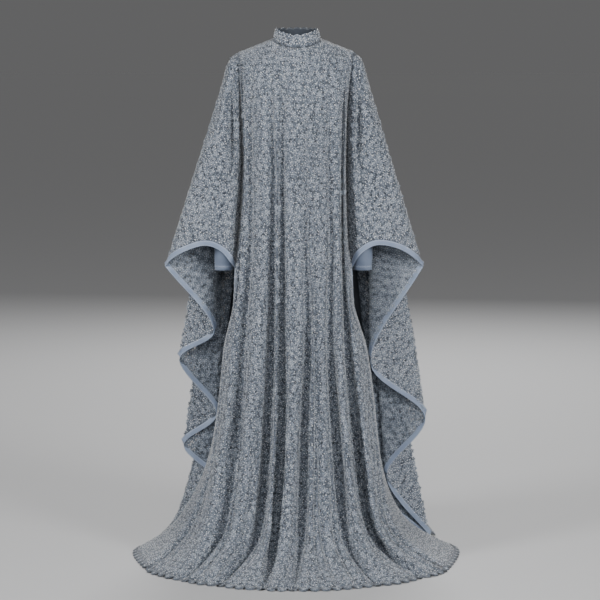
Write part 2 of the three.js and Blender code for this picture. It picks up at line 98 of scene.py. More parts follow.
# The front's fold lines from left to right: depth share, x and for the side lines y
FRONT_FOLDS = [
    (0, [-165, -163, -158, -155, -169, -177, -181, -206, -214, -246, -279, -295],
     [0, -42, -35, -14, -18, -30, -10, 96, 109, 126, 142, 150]),
    (0, [-161, -160, -155, -150, -163, -170, -180, -208, -222, -262, -338, -470],
     [-1, -49, -54, -38, -42, -54, -44, 36, 44, 48, 52, 60]),
    (1.2, [-156, -156, -150, -145, -158, -164, -176, -203, -219, -249, -306, -425], None),
    (0, [-147, -147, -143, -142, -153, -158, -166, -184, -195, -231, -263, -372], None),
    (0.7, [-128, -130, -130, -130, -132, -137, -146, -156, -165, -185, -217, -324], None),
    (0, [-104, -101, -100, -100, -100, -103, -109, -118, -130, -150, -179, -270], None),
    (1.0, [-64, -72, -72, -66, -69, -70, -70, -74, -81, -92, -116, -222], None),
    (0, [-50, -56, -57, -56, -56, -56, -56, -57, -58, -69, -84, -150], None),
    (0.8, [-36, -40, -40, -42, -42, -42, -43, -43, -43, -52, -63, -95], None),
    (0, [-18, -20, -20, -20, -18, -16, -14, -13, -16, -25, -38, -62], None),
    (0.6, [18, 22, 23, 23, 24, 26, 29, 29, 23, 17, 10, -12], None),
    (0, [34, 38, 39, 40, 41, 43, 45, 44, 42, 40, 40, 46], None),
    (0.2, [50, 52, 52, 52, 52, 53, 54, 56, 62, 70, 76, 118], None),
    (0.9, [66, 90, 92, 92, 97, 95, 92, 94, 103, 119, 136, 225], None),
    (0, [104, 114, 117, 117, 118, 119, 120, 124, 133, 152, 181, 290], None),
    (1.2, [130, 132, 129, 127, 130, 134, 137, 142, 157, 177, 208, 350], None),
    (0, [141, 139, 133, 130, 133, 138, 148, 165, 182, 205, 237, 385], None),
    (1.2, [149, 146, 137, 133, 136, 143, 155, 190, 212, 237, 272, 425], None),
    (0, [155, 151, 140, 136, 141, 149, 160, 198, 220, 244, 304, 468],
     [-1, -46, -50, -40, -44, -56, -42, 36, 46, 52, 62, 70]),
    (0, [160, 154, 143, 141, 147, 157, 163, 196, 214, 226, 280, 333],
     [0, -38, -31, -14, -18, -30, -8, 96, 108, 118, 148, 168]),
]
BACK_SIDES = {
    "left": {
        "seam": ([-165, -160, -151, -155, -171, -181, -192, -206, -214, -246, -279, -295],
                 [0, 40, 75, 88, 96, 98, 98, 96, 109, 126, 142, 150]),
        "turn": ([-160, -156, -146, -148, -166, -182, -202, -226, -254, -303, -346, -408],
                 [0, 44, 82, 98, 112, 118, 124, 132, 152, 178, 205, 232]),
    },
    "right": {
        "seam": ([160, 155, 146, 150, 164, 173, 183, 196, 214, 226, 280, 333],
                 [0, 40, 75, 88, 96, 98, 98, 96, 108, 118, 148, 168]),
        "turn": ([155, 151, 141, 143, 160, 175, 196, 220, 256, 306, 360, 414],
                 [0, 44, 82, 98, 112, 118, 124, 132, 152, 182, 212, 240]),
    },
}
BACK_FOLDS = [
    (-0.74, 0.8), (-0.63, 0), (-0.51, 1.1), (-0.39, 0), (-0.27, 0.8), (-0.13, 0), (0.02, 1.2),
    (0.16, 0), (0.29, 0.7), (0.41, 0), (0.53, 1.1), (0.64, 0), (0.74, 0.8),
]
ROW_HEIGHTS = [
    1441, 1410, 1355, 1295, 1225, 1145, 1060, 980, 900, 831, 775,
    720, 660, 600, 530, 450, 370, 290, 210, 140, 85, 40, 0,
]
ARMHOLE_ROWS = 10
CASCADE_END = {"left": 210, "right": 85}
WING_PARTS = [0, 0.06, 0.24, 0.46, 0.7, 1]
WING_FRONT = {
    "left": [
        (1438, 852, [-169, -171, -170, -169, -178, -190], [0, -46, -60, -58, -58, -58]),
        (1436, 880, [-173, -181, -184, -181, -190, -214], [0, -46, -55, -50, -54, -60]),
        (1433, 897, [-178, -188, -199, -208, -226, -256], [0, -43, -56, -60, -62, -58]),
        (1430, 883, [-182, -194, -210, -236, -268, -309], [0, -35, -47, -50, -50, -45]),
        (1427, 857, [-186, -199, -221, -260, -306, -355], [0, -20, -27, -30, -30, -25]),
    ],
    "right": [
        (1438, 867, [164, 163, 158, 156, 162, 175], [0, -44, -58, -58, -58, -58]),
        (1436, 891, [167, 173, 175, 171, 180, 205], [0, -46, -55, -50, -54, -60]),
        (1433, 899, [171, 180, 188, 197, 214, 238], [0, -43, -56, -60, -62, -58]),
        (1430, 885, [175, 187, 203, 226, 256, 293], [0, -35, -47, -50, -50, -45]),
        (1427, 857, [178, 191, 213, 250, 291, 336], [0, -20, -27, -30, -30, -25]),
    ],
}
WING_BACK_PARTS = [0, 0.08, 0.25, 0.5, 0.75, 1]
WING_BACK = {
    "left": [
        (1425, 832, [-188, -203, -235, -282, -329, -376], [0, 0, 0, 0, 0, 0]),
        (1427, 644, [-185, -194, -206, -221, -230, -238], [0, 50, 56, 55, 50, 34]),
        (1430, 552, [-181, -196, -224, -265, -303, -341], [0, 58, 66, 70, 73, 75]),
        (1433, 390, [-177, -185, -195, -211, -222, -234], [0, 62, 78, 86, 92, 100]),
        (1437, 292, [-172, -182, -210, -254, -291, -332], [0, 66, 88, 105, 121, 138]),
    ],
    "right": [
        (1425, 832, [180, 195, 226, 270, 315, 360], [0, 0, 0, 0, 0, 0]),
        (1427, 549, [177, 186, 197, 207, 210, 212], [0, 50, 56, 55, 52, 42]),
        (1430, 381, [174, 188, 218, 276, 332, 373], [0, 58, 66, 72, 78, 84]),
        (1433, 202, [170, 178, 190, 212, 236, 262], [0, 62, 78, 88, 98, 112]),
        (1437, 12, [166, 176, 204, 258, 318, 392], [0, 66, 90, 112, 136, 166]),
    ],
}
UNDER_SLEEVES = {
    "left": ([-170, -179, -189, -201, -205, -208], [0, 0, 0, 0, -5, -8]),
    "right": ([161.3, 170.3, 180, 190, 187, 187], [0, 0, 0, 0, -5, -8]),
}
UNDER_SLEEVE_HEIGHTS = [1365, 1300, 1230, 1080, 930, 824]
UNDER_SLEEVE_RADII = [33, 37, 40, 37, 31, 26]


def follow(keys, values, at):
    """A smooth curve through values placed at rising keys."""
    keys = np.asarray(keys, float)
    values = np.asarray(values, float)
    at = np.atleast_1d(np.asarray(at, float))
    wide = values.ndim > 1
    gap = np.diff(keys)[:, None] if wide else np.diff(keys)
    double = (keys[2:] - keys[:-2])[:, None] if wide else keys[2:] - keys[:-2]
    slope = np.empty_like(values)
    slope[1:-1] = (values[2:] - values[:-2]) / double
    slope[0] = (values[1] - values[0]) / gap[0]
    slope[-1] = (values[-1] - values[-2]) / gap[-1]
    i = np.clip(np.searchsorted(keys, at, side="left") - 1, 0, len(keys) - 2)
    span = keys[i + 1] - keys[i]
    f = (at - keys[i]) / span
    if wide:
        span = span[:, None]
        f = f[:, None]
    g = 1 - f
    ends = g * g * (1 + 2 * f) * values[i] + f * f * (3 - 2 * f) * values[i + 1]
    return ends + span * f * g * (g * slope[i] - f * slope[i + 1])


DROPS = [LEVELS[0] - level for level in LEVELS]


def at_height(values, height):
    return float(follow(DROPS, values, LEVELS[0] - height)[0])


def at_heights(values, heights):
    return follow(DROPS, values, LEVELS[0] - np.minimum(heights, LEVELS[0]))


def with_flare(values):
    """Gives a row of twelve values its thirteenth, 40 mm above the floor."""
    return [*values[:-1], values[-2] + (values[-1] - values[-2]) * FLARE_AT_FORTY, values[-1]]


def top_edge(x, facing):
    """The neckline inside the neck's half width, else the shoulder seam."""
    side = abs(x) / NECK_HALF_WIDTH
    if side >= 1:
        return (x, 0, NECK_SIDE_HEIGHT - (abs(x) - NECK_HALF_WIDTH) * SHOULDER_SLOPE)
    round_share = math.sqrt(1 - side * side)
    depth = NECK_FRONT if facing < 0 else NECK_BACK
    drop = NECK_FRONT_DROP if facing < 0 else NECK_BACK_DROP
    return (x, facing * depth * round_share, NECK_SIDE_HEIGHT - drop * round_share)


def fold_line(x, y, deep, facing):
    """A panel's fold line as a function of height. facing is -1 in front and 1 behind."""
    roundness = FRONT_ROUNDNESS if facing < 0 else BACK_ROUNDNESS
    depths = RINGS["front"] if facing < 0 else RINGS["back"]

    def line(height):
        px = at_height(x, height)
        if height >= LEVELS[0]:
            return top_edge(px, facing)
        if y:
            return (px, at_height(y, height), height)
        power = FLOOR_ROUNDNESS + (roundness - FLOOR_ROUNDNESS) * min(height / ROUND_BELOW, 1)
        side = min(abs(px) / at_height(RINGS["half"], height), WIDEST_SHARE)
        share = (1 - side ** power) ** (1 / power)
        out = at_height(depths, height) * share - deep * at_height(RINGS["fold"], height)
        return (px, facing * out, height)

    return line


def side_line(pair):
    return fold_line(with_flare(pair[0]), with_flare(pair[1]), 0, 1)


def front_side(own, seam):
    """Below the slit the front's side follows the back's side seam."""
    return lambda height: seam(height) if height <= SLIT_END else own(height)


def wing_line(row, parts):
    """A wing's line as a function of its part of the way down."""
    start, end, x, y = row
    return lambda part: (
        float(follow(parts, x, part)[0]),
        float(follow(parts, y, part)[0]),
        start + (end - start) * part,
    )


def net_of(lines, stations, steps):
    """A grid of points from lines, with steps columns between two of them."""
    rows = []
    for station in stations:
        knots = np.array([line(station) for line in lines])
        gaps = np.sqrt(np.linalg.norm(np.diff(knots, axis=0), axis=1))
        places = np.concatenate([[0], np.cumsum(gaps)])
        at = np.interp(np.arange((len(lines) - 1) * steps + 1) / steps, np.arange(len(lines)), places)
        rows.append(follow(places, knots, at))
    return np.array(rows)


def finer(grid, steps):
    """The same grid with steps rows between two of its rows."""
    gaps = np.linalg.norm(np.diff(grid, axis=0), axis=2).mean(axis=1)
    places = np.concatenate([[0], np.cumsum(gaps)])
    at = np.interp(np.arange((len(grid) - 1) * steps + 1) / steps, np.arange(len(grid)), places)
    flat = follow(places, grid.reshape(len(grid), -1), at)
    return flat.reshape(len(at), grid.shape[1], 3)


def normals_of(grid, closed=False):
    """The way out of a grid whose columns run to the right, at each of its points."""
    if closed:
        along = np.roll(grid, -1, axis=1) - np.roll(grid, 1, axis=1)
    else:
        along = np.gradient(grid, axis=1)
    down = np.gradient(grid, axis=0)
    normal = np.cross(down, along)
    return normal / np.maximum(np.linalg.norm(normal, axis=2, keepdims=True), 1e-9)


def cloth_lengths(grid):
    """How far each point is along the cloth, from the middle column and from the top row."""
    across = np.linalg.norm(np.diff(grid, axis=1), axis=2)
    u = np.concatenate([np.zeros((len(grid), 1)), np.cumsum(across, axis=1)], axis=1)
    u -= u[:, [grid.shape[1] // 2]]
    down = np.linalg.norm(np.diff(grid, axis=0), axis=2)
    v = np.concatenate([np.zeros((1, grid.shape[1])), np.cumsum(down, axis=0)], axis=0)
    v = np.repeat(v.mean(axis=1, keepdims=True), grid.shape[1], axis=1)
    return u, v


# The grids of the panels and of the wings
COLUMNS = 12
ROWS = 4
back_lines = [side_line(BACK_SIDES["left"]["seam"]), side_line(BACK_SIDES["left"]["turn"])]
back_lines += [
    fold_line([half * at for half in RINGS["half"]], None, deep, 1) for at, deep in BACK_FOLDS
]
back_lines += [side_line(BACK_SIDES["right"]["turn"]), side_line(BACK_SIDES["right"]["seam"])]
front_lines = [
    fold_line(with_flare(x), with_flare(y) if y else None, deep, -1) for deep, x, y in FRONT_FOLDS
]
front_lines[0] = front_side(front_lines[0], back_lines[0])
front_lines[-1] = front_side(front_lines[-1], back_lines[-1])


def panel(lines, depths, facing):
    """A panel's grid, creased along each line that has a depth and finely in between.

    The creases by the sides are shallower higher up, where the wings join.
    """
    grid = net_of(lines, ROW_HEIGHTS, COLUMNS)
    grid[0] = [top_edge(x, facing) for x in grid[0, :, 0]]
    grid = finer(grid, ROWS)
    middle = len(lines) // 2 * COLUMNS
    across = np.linalg.norm(np.diff(grid, axis=1), axis=2)
    along = np.concatenate([np.zeros((len(grid), 1)), np.cumsum(across, axis=1)], axis=1)
    heights = grid[:, middle, 2]
    creases = at_heights(RINGS["crease"], heights)[:, None]
    side_share = at_heights(RINGS["side"], heights)[:, None]
    fine_share = at_heights(RINGS["fine"], heights)[:, None]
    width = CREASE_WIDTH + CREASE_SPREAD * creases
    dent = np.zeros(grid.shape[:2])
    for i, deep in enumerate(depths):
        away = along - along[:, [i * COLUMNS]]
        near_side = i < LEFT_SIDE_LINES or i >= len(depths) - RIGHT_SIDE_LINES
        share = side_share if near_side else 1
        dent += np.exp(-(away / width) ** 2) * creases * math.sqrt(deep) * share
        if OUTER_SPANS <= i < len(depths) - 1 - OUTER_SPANS:
            wander = FINE_WANDER * np.sin(heights / FINE_WANDER_LENGTH + 2.1 * i)[:, None]
            between = along[:, [i * COLUMNS + COLUMNS // 2]] + wander
            waxing = 0.6 + 0.4 * np.sin(heights / FINE_WAX_LENGTH + 1.7 * i)[:, None]
            fine = np.exp(-((along - between) / CREASE_WIDTH) ** 2)
            dent += fine * creases * waxing * fine_share
    return grid + facing * normals_of(grid) * dent[..., None]


def without_hem(grid, width):
    """The same grid, with its last rows drawn up so that it ends above the hem's edging."""
    count = 2 * ROWS
    tail = grid[-count - 1:]
    steps = np.linalg.norm(np.diff(tail, axis=0), axis=2)
    reach = np.concatenate([np.zeros((1, grid.shape[1])), np.cumsum(steps, axis=0)])
    shorter = grid.copy()
    for c in range(grid.shape[1]):
        at = reach[:, c] * (1 - width / reach[-1, c])
        for axis in range(3):
            shorter[-count - 1:, c, axis] = np.interp(at, reach[:, c], tail[:, c, axis])
    return shorter


def height_part(height, end):
    return (ROW_HEIGHTS[0] - height) / (ROW_HEIGHTS[0] - end)


def groove(grid, column, facing):
    """The same grid with one soft groove down a column, deepest in the middle of its length."""
    across = np.linalg.norm(np.diff(grid, axis=1), axis=2)
    along = np.concatenate([np.zeros((len(grid), 1)), np.cumsum(across, axis=1)], axis=1)
    away = along - along[:, [column]]
    depth = GROOVE_DEPTH * np.exp(-((grid[:, [column], 2] - GROOVE_HEIGHT) / GROOVE_LENGTH) ** 2)
    return grid + facing * normals_of(grid) * (np.exp(-(away / GROOVE_WIDTH) ** 2) * depth)[..., None]


def wing_grids(side):
    end = 0 if side == "left" else -1
    armhole = ROW_HEIGHTS[:ARMHOLE_ROWS]
    cascade = ROW_HEIGHTS[:ROW_HEIGHTS.index(CASCADE_END[side]) + 1]
    overarm = wing_line(WING_BACK[side][0], WING_BACK_PARTS)

    def by_height(line, lowest):
        return lambda height: line(height_part(height, lowest))

    in_front = [by_height(wing_line(row, WING_PARTS), armhole[-1]) for row in WING_FRONT[side]]
    behind = [
        by_height(wing_line(row, WING_BACK_PARTS), cascade[-1]) for row in WING_BACK[side][1:]
    ]
    front_lines_here = [front_lines[end], *in_front, by_height(overarm, armhole[-1])]
    back_lines_here = [by_height(overarm, cascade[-1]), *behind, back_lines[end]]
    turn = -1 if side == "left" else 1
    smooth = finer(net_of(front_lines_here, armhole, WING_COLUMNS), ROWS)
    in_front = groove(smooth, 2 * WING_COLUMNS, -turn)
    return {
        "front": in_front[:, ::turn],
        "back": finer(net_of(back_lines_here, cascade, CASCADE_COLUMNS), ROWS)[:, ::turn],
    }


front_whole = panel(front_lines, [deep for deep, x, y in FRONT_FOLDS], -1)
back_whole = panel(back_lines, [0, 0, *(deep for at, deep in BACK_FOLDS), 0, 0], 1)
# The back's columns are turned round, as the left wing's are above, so that its normals point out
back_whole = back_whole[:, ::-1]
front = without_hem(front_whole, HEM_EDGING - 1)
back = without_hem(back_whole, HEM_EDGING - 1)
wings = {side: wing_grids(side) for side in ("left", "right")}


# Materials
def linear(code):
    """An sRGB hex colour as linear red, green, blue and alpha."""
    parts = [int(code[i:i + 2], 16) / 255 for i in (1, 3, 5)]
    return tuple(p / 12.92 if p <= 0.04045 else ((p + 0.055) / 1.055) ** 2.4 for p in parts) + (1.0,)


def add(tree, kind, settings=None, stops=None, **links):
    """Adds a node with its settings, its colour stops and its inputs.

    An input is named as the socket is, with _ for a space, or _ and its number.
    """
    node = tree.nodes.new(kind)
    for name, value in (settings or {}).items():
        setattr(node, name, value)
    for i, (place, colour) in enumerate(stops or ()):
        if i > 1:
            node.color_ramp.elements.new(place)
        node.color_ramp.elements[i].position = place
        node.color_ramp.elements[i].color = colour
    for name, value in links.items():
        socket = node.inputs[int(name[1:]) if name[0] == "_" else name.replace("_", " ")]
        if isinstance(value, bpy.types.NodeSocket):
            tree.links.new(value, socket)
        else:
            socket.default_value = value
    return node.outputs[2] if kind == MIX else node.outputs[0]


def new_material(name):
    material = bpy.data.materials.new(name)
    material.use_nodes = True
    material.node_tree.nodes.clear()
    return material, material.node_tree


def finish_material(tree, shader):
    output = tree.nodes.new("ShaderNodeOutputMaterial")
    tree.links.new(shader, output.inputs["Surface"])


WHITE = (1, 1, 1, 1)
BLACK = (0, 0, 0, 1)
SHADER = "ShaderNodeBsdfPrincipled"
RAMP = "ShaderNodeValToRGB"
VORONOI = "ShaderNodeTexVoronoi"
NOISE = "ShaderNodeTexNoise"
MATH = "ShaderNodeMath"
MIX = "ShaderNodeMix"
COLOUR = {"data_type": "RGBA"}

# Sizes of the lace's ground in millimetres of cloth. The mesh is really 1 to 2 mm, which is too
# fine to show, so it is drawn about 3 mm wide.
HOLE_STEP = 8.2
SLIT_STEP = 5.2
LEAF_SIZE = 4.4
NET_CELL = 3.2
SEQUIN_STEP = 6
DYE_PATCH = 70
CORD_HEIGHT = 1.2


def lace_ground(name, lining_colour, see_through):
    """Machine-embroidered lace of cotton and polyester: corded leaves with holes, on a net.

    Over the lining its holes are dark, and on the wings they are open. The matt thread scatters
    light softly, the dye is a little uneven, and small sequins are coloured near white as a
    painted glint.
    """
    material, tree = new_material(name)
    cloth = add(tree, "ShaderNodeUVMap", {"uv_map": "cloth"})
    holes = add(
        tree, VORONOI, {"feature": "F1"}, Vector=cloth, Scale=1 / (HOLE_STEP * MM), Randomness=0.8,
    )
    slits = add(
        tree, VORONOI, {"feature": "F1"}, Vector=cloth, Scale=1 / (SLIT_STEP * MM), Randomness=0.9,
    )
    leaves = add(
        tree, VORONOI, {"feature": "SMOOTH_F1"},
        Vector=cloth, Scale=1 / (LEAF_SIZE * MM), Smoothness=0.2,
    )
    net = add(
        tree, VORONOI, {"feature": "DISTANCE_TO_EDGE"},
        Vector=cloth, Scale=1 / (NET_CELL * MM), Randomness=0.25,
    )
    sequins = add(tree, VORONOI, {"feature": "F1"}, Vector=cloth, Scale=1 / (SEQUIN_STEP * MM))
    dye = add(tree, NOISE, Vector=cloth, Scale=1 / (DYE_PATCH * MM), Detail=3.0)
    hole = add(tree, RAMP, stops=((0.33, WHITE), (0.41, BLACK)), Fac=holes)
    slit = add(tree, RAMP, stops=((0.18, WHITE), (0.29, BLACK)), Fac=slits)
    opening = add(tree, MATH, {"operation": "MAXIMUM"}, _0=hole, _1=slit)
    corded = add(tree, MATH, {"operation": "SUBTRACT"}, _0=1.0, _1=opening)
    leaf = add(tree, RAMP, stops=((0.2, WHITE), (0.55, BLACK)), Fac=leaves)
    thread = add(tree, RAMP, stops=((0.05, WHITE), (0.16, BLACK)), Fac=net)
    # Sequin dots: raised and glossier, and their near-white colour below is a painted glint
    sequin_and_painted_glint = add(tree, RAMP, stops=((0.10, WHITE), (0.17, BLACK)), Fac=sequins)
    rims = add(tree, RAMP, stops=((0.3, linear("#434b56")), (0.7, linear("#57606c"))), Fac=dye)
    cords = add(tree, RAMP, stops=((0.3, linear("#788290")), (0.7, linear("#929ba8"))), Fac=dye)
    cord = add(tree, MIX, COLOUR, _0=leaf, _6=rims, _7=cords)
    ground = add(tree, MIX, COLOUR, _0=thread, _6=linear(lining_colour), _7=linear("#4a525e"))
    embroidered = add(tree, MIX, COLOUR, _0=corded, _6=ground, _7=cord)
    # Painted glint: the sequin dots are coloured near white
    colour = add(tree, MIX, COLOUR, _0=sequin_and_painted_glint, _6=embroidered, _7=linear("#ccd2d9"))
    raised = add(tree, MATH, {"operation": "MULTIPLY_ADD"}, _0=leaf, _1=0.5, _2=corded)
    height = add(tree, MATH, {"operation": "ADD"}, _0=raised, _1=sequin_and_painted_glint)
    bump = add(tree, "ShaderNodeBump", Strength=0.7, Distance=CORD_HEIGHT * MM, Height=height)
    roughness = add(tree, "ShaderNodeMapRange", Value=sequin_and_painted_glint, To_Min=0.78, To_Max=0.3)
    looks = dict(
        Base_Color=colour, Roughness=roughness, Normal=bump, Sheen_Weight=0.25, Sheen_Roughness=0.5,
    )
    if see_through:
        covered = add(tree, MATH, {"operation": "MAXIMUM"}, _0=corded, _1=sequin_and_painted_glint)
        netted = add(tree, MATH, {"operation": "MULTIPLY"}, _0=thread, _1=0.75)
        filled = add(tree, MATH, {"operation": "MAXIMUM"}, _0=covered, _1=netted)
        looks["Alpha"] = add(tree, MATH, {"operation": "MAXIMUM"}, _0=filled, _1=0.12)
    finish_material(tree, add(tree, SHADER, **looks))
    return material


# The petals' stitches are drawn coarser than satin stitch is, to show at all
STITCH_STEP = 0.9
STITCH_HEIGHT = 0.4


def satin_stitch():
    """Embroidered petals: rayon thread in close satin stitch, matt. Their tone is painted light:
    lighter on the raised rims and tips as painted highlight, darker along the sunk midlines and
    at the middle as painted shade.
    """
    material, tree = new_material("rayon_satin_stitch")
    tone = add(tree, "ShaderNodeAttribute", {"attribute_name": "tone"})
    # Painted light: the tone makes raised petal rims and tips lighter as painted highlight and sunk
    # midlines and middles darker as painted shade; each motif's tone also differs a little at random
    colour = add(
        tree, RAMP, Fac=tone,
        stops=((0.0, linear("#4c5562")), (0.5, linear("#78828f")), (1.0, linear("#b0b8c2"))),
    )
    place = add(tree, "ShaderNodeTexCoord").node.outputs["Object"]
    stitches = add(tree, NOISE, Vector=place, Scale=1 / (STITCH_STEP * MM), Detail=1.0)
    bump = add(tree, "ShaderNodeBump", Strength=0.5, Distance=STITCH_HEIGHT * MM, Height=stitches)
    shader = add(tree, SHADER, Base_Color=colour, Roughness=0.62, Normal=bump, Sheen_Weight=0.3)
    finish_material(tree, shader)
    return material


def glass_bead():
    """Small silver-lined glass beads, pressed and polished: nearly white, with sharp glints."""
    material, tree = new_material("silver_lined_glass_bead")
    tone = add(tree, "ShaderNodeAttribute", {"attribute_name": "tone"})
    colour = add(tree, RAMP, stops=((0.0, linear("#dde0e4")), (1.0, linear("#fbfbfa"))), Fac=tone)
    finish_material(tree, add(tree, SHADER, Base_Color=colour, Roughness=0.25, IOR=1.52))
    return material


# The satin's floats are about 0.2 mm apart, and are drawn 0.9 mm apart to show at all
FLOAT_STEP = 0.9
FLOAT_HEIGHT = 0.2
SATIN_CLOUD = 60
SEAM_STITCH = 2.8
THREAD_HALF = 0.35
CUFF_EDGE = 12
CUFF_STITCHES = (531, 533.5)
RIBBON_STITCHES = (1.8, 13.2)


def satin(name, dark, light, roughness, seams=()):
    """Woven polyester satin: long floats on its face give a soft gloss along one direction.

    The seams are lines of machine stitches, each so many millimetres below the cloth's top edge.
    """
    material, tree = new_material(name)
    cloth = add(tree, "ShaderNodeUVMap", {"uv_map": "cloth"})
    floats = add(
        tree, "ShaderNodeTexWave", {"wave_type": "BANDS", "bands_direction": "DIAGONAL"},
        Vector=cloth, Scale=1 / (FLOAT_STEP * MM * 2 * math.pi), Distortion=1.0,
    )
    cloud = add(tree, NOISE, Vector=cloth, Scale=1 / (SATIN_CLOUD * MM), Detail=2.0)
    colour = add(tree, RAMP, stops=((0.3, linear(dark)), (0.7, linear(light))), Fac=cloud)
    height = add(tree, "ShaderNodeSeparateColor", _0=floats)
    across = add(tree, "ShaderNodeSeparateXYZ", _0=cloth)
    down = across.node.outputs[1]
    steps = add(tree, MATH, {"operation": "DIVIDE"}, _0=across, _1=SEAM_STITCH * MM)
    part = add(tree, MATH, {"operation": "FRACT"}, _0=steps)
    dash = add(tree, MATH, {"operation": "LESS_THAN"}, _0=part, _1=0.7)
    for seam in seams:
        near = add(
            tree, MATH, {"operation": "COMPARE"}, _0=down, _1=seam * MM, _2=THREAD_HALF * MM,
        )
        stitch = add(tree, MATH, {"operation": "MULTIPLY"}, _0=near, _1=dash)
        colour = add(tree, MIX, COLOUR, _0=stitch, _6=colour, _7=linear("#c3cbd6"))
        height = add(tree, MATH, {"operation": "MULTIPLY_ADD"}, _0=stitch, _1=2.5, _2=height)
    bump = add(tree, "ShaderNodeBump", Strength=0.15, Distance=FLOAT_HEIGHT * MM, Height=height)
    shader = add(
        tree, SHADER,
        Base_Color=colour, Roughness=roughness, Normal=bump, Sheen_Weight=0.2, Anisotropic=0.4,
    )
    finish_material(tree, shader)
    return material


body_lace = lace_ground("lace_over_slate_lining", "#1f242b", False)
wing_lace = lace_ground("open_lace_net", "#2b3138", True)
lining = satin("slate_satin_lining", "#2f353e", "#3a414b", 0.5)
ribbon = satin("pale_satin_ribbon", "#75839c", "#8d9bb2", 0.36, RIBBON_STITCHES)
sleeve_satin = satin("blue_grey_satin", "#616d82", "#748196", 0.4, CUFF_STITCHES)
petals = satin_stitch()
beads = glass_bead()


# Meshes
def place_z(points):
    """Garment heights become heights in the shared frame, no lower than the floor."""
    points = points.copy()
    points[..., 2] = np.maximum(points[..., 2], FLOOR_CLEARANCE) - SHOULDER_HEIGHT
    return points * MM


def make_object(name, points, faces, materials, uv=None, tone=None, material_index=None):
    mesh = bpy.data.meshes.new(name)
    mesh.from_pydata(points.tolist(), [], faces.tolist())
    for material in materials:
        mesh.materials.append(material)
    corners = faces.reshape(-1)
    if uv is not None:
        layer = mesh.uv_layers.new(name="cloth")
        layer.data.foreach_set("uv", uv[corners].astype(np.float32).reshape(-1))
    if tone is not None:
        attribute = mesh.attributes.new("tone", "FLOAT", "POINT")
        attribute.data.foreach_set("value", tone.astype(np.float32))
    if material_index is not None:
        mesh.polygons.foreach_set("material_index", material_index.astype(np.int32))
    mesh.polygons.foreach_set("use_smooth", np.full(len(faces), True))
    mesh.update()
    thing = bpy.data.objects.new(name, mesh)
    bpy.context.collection.objects.link(thing)
    return thing


def wall(name, grid, thickness, materials, closed=False):
    """A closed wall on both sides of a grid. The inner side takes the last material."""
    rows, columns = grid.shape[:2]
    normal = normals_of(grid, closed)
    both = np.concatenate([grid + normal * thickness / 2, grid - normal * thickness / 2])
    u, v = cloth_lengths(grid)
    uv = np.stack([u, v], axis=2).reshape(-1, 2) * MM
    spans = columns if closed else columns - 1
    r, c = np.meshgrid(np.arange(rows - 1), np.arange(spans), indexing="ij")
    right = (c + 1) % columns
    half = rows * columns
    here = r * columns
    below = (r + 1) * columns
    outer = np.stack([here + c, below + c, below + right, here + right], 2).reshape(-1, 4)
    faces = [outer, outer[:, ::-1] + half]
    c = np.arange(spans)
    right = (c + 1) % columns
    low = (rows - 1) * columns
    faces.append(np.stack([c, right, right + half, c + half], 1))
    faces.append(np.stack([low + c, low + c + half, low + right + half, low + right], 1))
    if not closed:
        r = np.arange(rows - 1) * columns
        faces.append(np.stack([r + columns, r, r + half, r + columns + half], 1))
        r = r + columns - 1
        faces.append(np.stack([r, r + columns, r + columns + half, r + half], 1))
    index = np.concatenate([
        np.full(len(part), len(materials) - 1 if i == 1 else 0) for i, part in enumerate(faces)
    ])
    return make_object(
        name, place_z(both.reshape(-1, 3)), np.concatenate(faces), materials,
        uv=np.concatenate([uv, uv]), material_index=index,
    )


# A petal's points: share of its length, share of its width, share of its cup's height, tone.
# # The tone is painted light: high on the raised rim and tip as painted highlight, low on the sunk
# midline as painted shade.
PETAL = [(0.55, -0.5, 0.8, 0.75), (0.6, 0, 0.25, 0.35), (0.55, 0.5, 0.8, 0.75), (1, 0, 1, 1.0)]
MIDDLE_HEIGHT = 0.9
# The middle gets a dark tone, a painted shade where the petals meet
MIDDLE_PAINTED_SHADE = 0.15
BEAD_TONE = 0.6


def petal_flower(count, length, width, cup):
    """Petals round a middle, each of four facets with a raised rim and a sunk midline."""
    points = [(0, 0, MIDDLE_HEIGHT)]
    tones = [MIDDLE_PAINTED_SHADE]
    faces = []
    for k in range(count):
        angle = 2 * math.pi * k / count
        way = np.array([math.cos(angle), math.sin(angle)])
        across = np.array([-way[1], way[0]])
        start = len(points)
        for reach, side, lift, tone in PETAL:
            x, y = way * reach * length + across * side * width
            points.append((x, y, cup * lift))
            tones.append(tone)
        faces += [(0, start, start + 1), (0, start + 1, start + 2)]
        faces += [(start, start + 3, start + 1), (start + 1, start + 3, start + 2)]
    return np.array(points), np.array(faces), np.array(tones)


def bead_shape(radius, x, y, z):
    """The half of a small faceted bead that stands out of the cloth."""
    points = np.array([(1, 0, 0), (0, 1, 0), (-1, 0, 0), (0, -1, 0), (0, 0, 1.1)]) * radius
    faces = np.array([(0, 1, 4), (1, 2, 4), (2, 3, 4), (3, 0, 4)])
    return points + np.array((x, y, z)), faces


def motif(flower, bead_places):
    """One flower with its beads: points, faces, tones and which faces are beads."""
    points, faces, tones = flower
    kinds = [np.zeros(len(faces))]
    all_points = [points]
    all_faces = [faces]
    all_tones = [tones]
    total = len(points)
    for radius, x, y, z in bead_places:
        more, facets = bead_shape(radius, x, y, z)
        all_points.append(more)
        all_faces.append(facets + total)
        all_tones.append(np.full(len(more), BEAD_TONE))
        kinds.append(np.ones(len(facets)))
        total += len(more)
    return tuple(np.concatenate(part) for part in (all_points, all_faces, all_tones, kinds))


def lone_bead(radius, lift):
    """A small bead sewn on by itself."""
    points, faces = bead_shape(radius, 0, 0, lift)
    return points, faces, np.full(len(points), BEAD_TONE), np.ones(len(faces))


